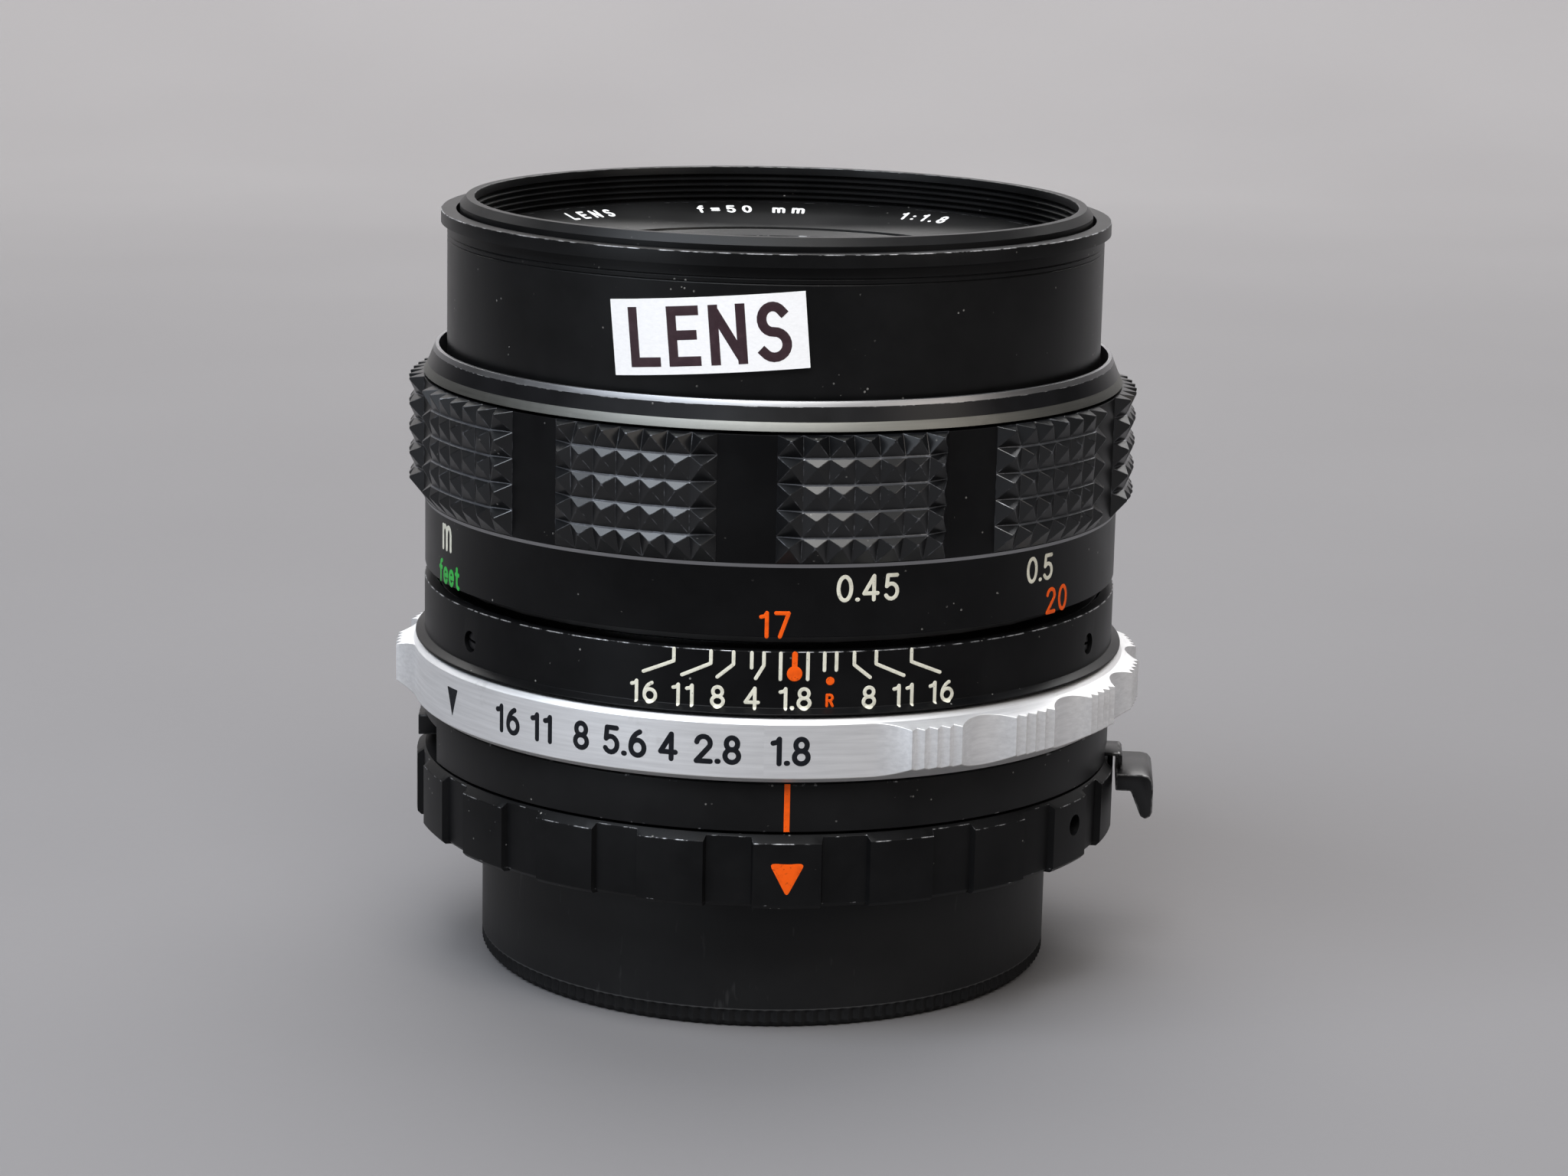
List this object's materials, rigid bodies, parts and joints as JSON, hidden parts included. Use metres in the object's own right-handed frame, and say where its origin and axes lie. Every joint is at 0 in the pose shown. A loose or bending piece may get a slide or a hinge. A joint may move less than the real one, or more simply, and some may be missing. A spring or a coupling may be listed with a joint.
{
  "type": "prime camera lens",
  "caption": "Manual-focus prime camera lens with focus, aperture and breech rings, an iris, cemented glass groups and a push-on rear cap.",
  "frame": {"origin": "centre of the underside of the rear cap, on the optical axis", "axes": "+Z along the optical axis out of the front glass, -Y towards the index marks, +X towards the coupling arm"},
  "size_m": [0.0625, 0.0596, 0.0618],
  "materials": {
    "cap_plastic": "matte moulded",
    "black_anodised": "satin black anodised, worn at the edges",
    "black_paint": "black paint over light alloy",
    "bright_aluminium": "fine turned, satin",
    "inner_aluminium": "turned",
    "mount_metal": "satin plated",
    "helicoid_brass": "turned and greased",
    "screw_steel": "bright",
    "cam_steel": "satin",
    "blade_steel": "blackened",
    "optical_glass": "polished and coated",
    "label_paper": "matte printed paper"
  },
  "bodies": {
    "rear_cap": {"rear_cap": "cap_plastic"},
    "barrel": {"main_barrel": "black_anodised", "mount_flange": "mount_metal", "flange_screw_1": "screw_steel", "flange_screw_2": "screw_steel", "flange_screw_3": "screw_steel", "guide_key": "helicoid_brass", "guide_key_screw": "screw_steel", "click_ball": "screw_steel", "click_spring": "screw_steel", "depth_scale_ring": "black_anodised", "depth_ring_screw_1": "black_paint", "depth_ring_screw_2": "black_paint", "depth_ring_screw_3": "black_paint"},
    "breech_ring": {"breech_ring": "black_paint", "breech_ring_screw": "black_paint"},
    "aperture_ring": {"aperture_ring": "bright_aluminium", "coupling_hook": "black_paint"},
    "preview_lever": {"preview_lever": "black_paint"},
    "focus_ring": {"focus_ring": "black_anodised", "focus_trim_ring": "bright_aluminium", "helicoid_sleeve": "helicoid_brass"},
    "optical_unit": {"helicoid_carrier": "inner_aluminium", "front_barrel": "black_anodised", "filter_ring": "black_anodised", "name_ring": "black_paint", "front_cell": "black_paint", "front_retaining_ring": "black_paint", "front_spacer": "black_paint", "rear_cell": "black_paint", "rear_spacer": "black_paint", "rear_retaining_ring": "black_paint", "front_lens": "optical_glass", "second_lens": "optical_glass", "third_lens": "optical_glass", "fourth_lens": "optical_glass", "fifth_lens": "optical_glass", "rear_lens": "optical_glass", "paper_label": "label_paper", "diaphragm_housing": "black_paint", "blade_cover": "black_paint"},
    "iris_cam": {"iris_cam_ring": "cam_steel", "stop_down_lever": "cam_steel"},
    "iris_blade_1": {"iris_blade_1": "blade_steel"},
    "iris_blade_2": {"iris_blade_2": "blade_steel"},
    "iris_blade_3": {"iris_blade_3": "blade_steel"},
    "iris_blade_4": {"iris_blade_4": "blade_steel"},
    "iris_blade_5": {"iris_blade_5": "blade_steel"},
    "iris_blade_6": {"iris_blade_6": "blade_steel"}
  },
  "joints": [
    {"name": "cap_pull", "type": "slide", "parent": "rear_cap", "child": "barrel", "axis": [0, 0, 1], "range_m": [0, 0.014]},
    {"name": "breech_turn", "type": "hinge", "parent": "barrel", "child": "breech_ring", "pos_m": [0, 0, 0.0143], "axis": [0, 0, 1], "range_deg": [0, 40]},
    {"name": "aperture_turn", "type": "hinge", "parent": "barrel", "child": "aperture_ring", "pos_m": [0, 0, 0.0237], "axis": [0, 0, 1], "range_deg": [0, 46.4]},
    {"name": "preview_push", "type": "hinge", "parent": "barrel", "child": "preview_lever", "pos_m": [0, 0, 0.01855], "axis": [0, 0, 1], "range_deg": [0, 12], "stiffness_Nm_per_rad": 0.005, "springref_deg": -11.46},
    {"name": "focus_turn", "type": "hinge", "parent": "barrel", "child": "focus_ring", "pos_m": [0, 0, 0.04], "axis": [0, 0, 1], "range_deg": [-262, 0]},
    {"name": "focus_travel", "type": "slide", "parent": "barrel", "child": "optical_unit", "axis": [0, 0, 1], "range_m": [-0.00765, 0]},
    {"name": "iris_cam_turn", "type": "hinge", "parent": "optical_unit", "child": "iris_cam", "pos_m": [0, 0, 0.0328], "axis": [0, 0, 1], "range_deg": [0, 46.4]},
    {"name": "blade_1_swing", "type": "hinge", "parent": "optical_unit", "child": "iris_blade_1", "pos_m": [0, -0.0172, 0.0334], "axis": [0, 0, 1], "range_deg": [0, 32.5]},
    {"name": "blade_2_swing", "type": "hinge", "parent": "optical_unit", "child": "iris_blade_2", "pos_m": [0.0149, -0.0086, 0.03382], "axis": [0, 0, 1], "range_deg": [0, 32.5]},
    {"name": "blade_3_swing", "type": "hinge", "parent": "optical_unit", "child": "iris_blade_3", "pos_m": [0.0149, 0.0086, 0.03424], "axis": [0, 0, 1], "range_deg": [0, 32.5]},
    {"name": "blade_4_swing", "type": "hinge", "parent": "optical_unit", "child": "iris_blade_4", "pos_m": [0, 0.0172, 0.03466], "axis": [0, 0, 1], "range_deg": [0, 32.5]},
    {"name": "blade_5_swing", "type": "hinge", "parent": "optical_unit", "child": "iris_blade_5", "pos_m": [-0.0149, 0.0086, 0.03508], "axis": [0, 0, 1], "range_deg": [0, 32.5]},
    {"name": "blade_6_swing", "type": "hinge", "parent": "optical_unit", "child": "iris_blade_6", "pos_m": [-0.0149, -0.0086, 0.0355], "axis": [0, 0, 1], "range_deg": [0, 32.5]}
  ],
  "couplings": [
    {"joint": "focus_travel", "follows": "focus_turn", "m_per_rad": 0.0016711},
    {"joint": "iris_cam_turn", "follows": "aperture_turn", "ratio": 1},
    {"joint": "blade_1_swing", "follows": "aperture_turn", "ratio": 0.7},
    {"joint": "blade_2_swing", "follows": "aperture_turn", "ratio": 0.7},
    {"joint": "blade_3_swing", "follows": "aperture_turn", "ratio": 0.7},
    {"joint": "blade_4_swing", "follows": "aperture_turn", "ratio": 0.7},
    {"joint": "blade_5_swing", "follows": "aperture_turn", "ratio": 0.7},
    {"joint": "blade_6_swing", "follows": "aperture_turn", "ratio": 0.7}
  ]
}
